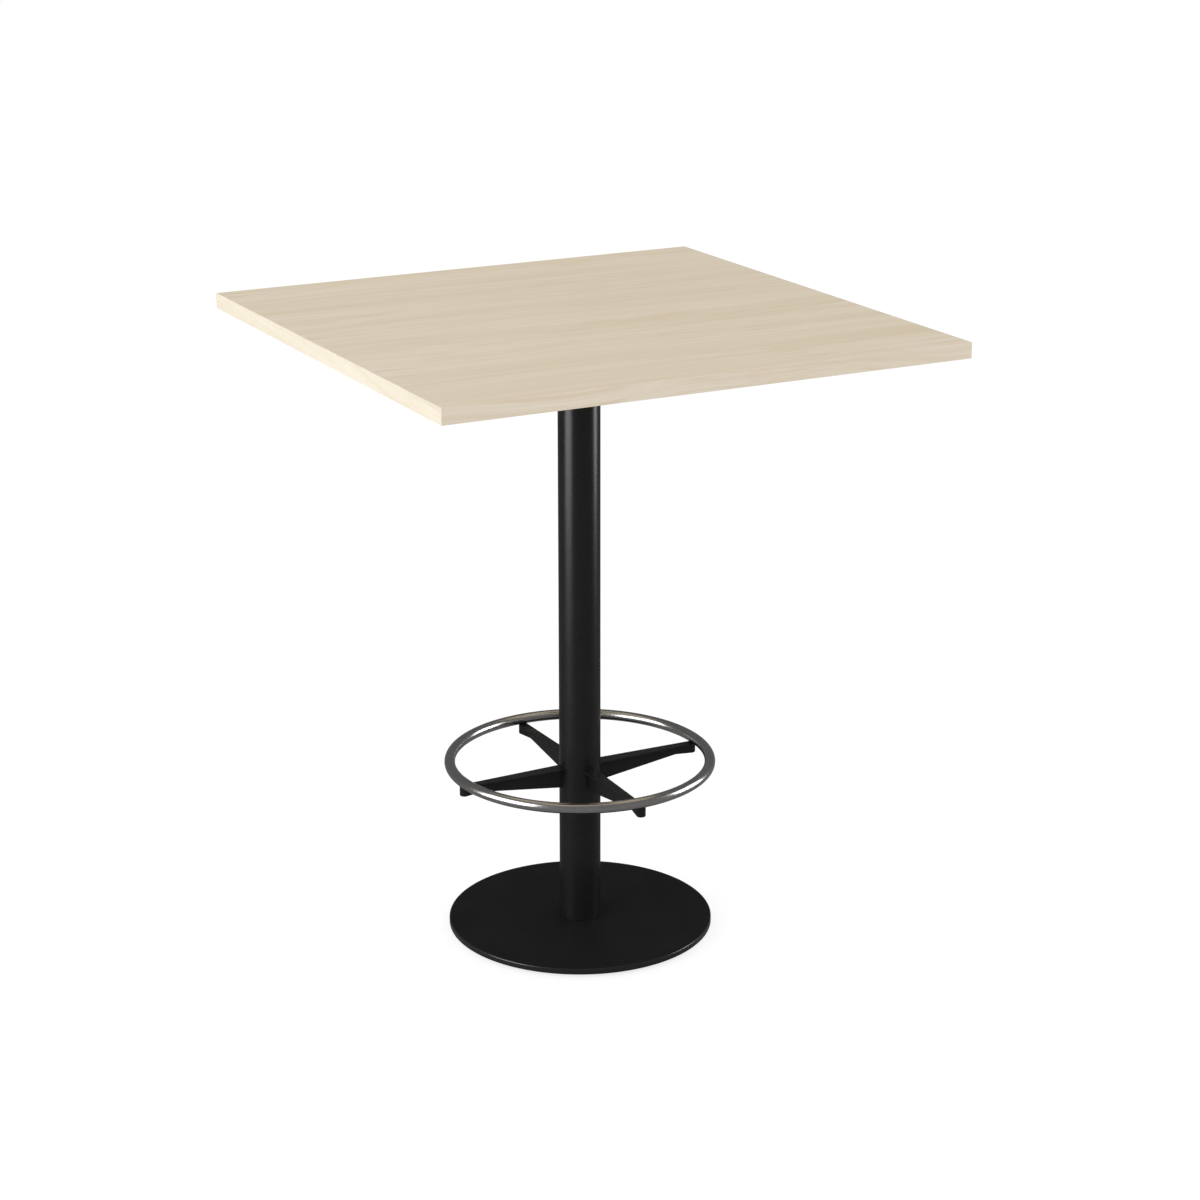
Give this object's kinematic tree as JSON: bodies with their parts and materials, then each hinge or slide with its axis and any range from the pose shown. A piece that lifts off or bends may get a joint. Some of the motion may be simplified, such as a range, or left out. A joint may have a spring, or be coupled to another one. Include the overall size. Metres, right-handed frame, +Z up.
{
  "type": "pub table",
  "caption": "Bar-height table with a square wood-grain top on a round steel column, a disc base and a foot ring carried by radial arms.",
  "frame": {"origin": "on the floor under the column's axis, at the middle of the bounding box's base", "axes": "+Z up along the column; X and Y along the sides of the square top, X along the wood grain"},
  "size_m": [0.9, 0.9, 1.06],
  "materials": {
    "chipboard": "raw chipboard, hidden by laminate and edge bands",
    "wood_laminate": "matt light wood-grain laminate, grain along X",
    "wood_edge": "matt light wood-grain edge band",
    "black_coating": "satin black powder coat",
    "polished_steel": "polished steel tube",
    "zinc_steel": "zinc-plated steel",
    "bare_steel": "turned steel",
    "black_screw": "black oxide steel",
    "glide_plastic": "moulded black nylon"
  },
  "bodies": {
    "table": {"top_core": "chipboard", "top_laminate": "wood_laminate", "under_laminate": "wood_laminate", "edge_band_front": "wood_edge", "edge_band_back": "wood_edge", "edge_band_left": "wood_edge", "edge_band_right": "wood_edge", "top_plate": "black_coating", "top_inserts": "zinc_steel", "top_screws": "zinc_steel", "column_tube": "black_coating", "head_plug": "bare_steel", "foot_plug": "bare_steel", "head_screws": "zinc_steel", "base_screws": "zinc_steel", "base_disc": "black_coating", "foot_ring": "polished_steel", "ring_screws": "black_screw", "ring_arm_1": "black_coating", "ring_arm_2": "black_coating", "ring_arm_3": "black_coating", "ring_arm_4": "black_coating"},
    "pad_1": {"glide_pad_1": "glide_plastic"},
    "stud_1": {"glide_stud_1": "zinc_steel"},
    "pad_2": {"glide_pad_2": "glide_plastic"},
    "stud_2": {"glide_stud_2": "zinc_steel"},
    "pad_3": {"glide_pad_3": "glide_plastic"},
    "stud_3": {"glide_stud_3": "zinc_steel"},
    "pad_4": {"glide_pad_4": "glide_plastic"},
    "stud_4": {"glide_stud_4": "zinc_steel"}
  },
  "joints": [
    {"name": "glide_level_1", "type": "slide", "parent": "table", "child": "pad_1", "axis": [0, 0, -1], "range_m": [0, 0.0025]},
    {"name": "glide_turn_1", "type": "hinge", "parent": "pad_1", "child": "stud_1", "pos_m": [0.13789, 0.13789, 0.004], "axis": [0, 0, -1], "continuous": true},
    {"name": "glide_level_2", "type": "slide", "parent": "table", "child": "pad_2", "axis": [0, 0, -1], "range_m": [0, 0.0025]},
    {"name": "glide_turn_2", "type": "hinge", "parent": "pad_2", "child": "stud_2", "pos_m": [-0.13789, 0.13789, 0.004], "axis": [0, 0, -1], "continuous": true},
    {"name": "glide_level_3", "type": "slide", "parent": "table", "child": "pad_3", "axis": [0, 0, -1], "range_m": [0, 0.0025]},
    {"name": "glide_turn_3", "type": "hinge", "parent": "pad_3", "child": "stud_3", "pos_m": [-0.13789, -0.13789, 0.004], "axis": [0, 0, -1], "continuous": true},
    {"name": "glide_level_4", "type": "slide", "parent": "table", "child": "pad_4", "axis": [0, 0, -1], "range_m": [0, 0.0025]},
    {"name": "glide_turn_4", "type": "hinge", "parent": "pad_4", "child": "stud_4", "pos_m": [0.13789, -0.13789, 0.004], "axis": [0, 0, -1], "continuous": true}
  ],
  "couplings": [
    {"joint": "glide_turn_1", "follows": "glide_level_1", "rad_per_m": 5026.5},
    {"joint": "glide_turn_2", "follows": "glide_level_2", "rad_per_m": 5026.5},
    {"joint": "glide_turn_3", "follows": "glide_level_3", "rad_per_m": 5026.5},
    {"joint": "glide_turn_4", "follows": "glide_level_4", "rad_per_m": 5026.5}
  ]
}
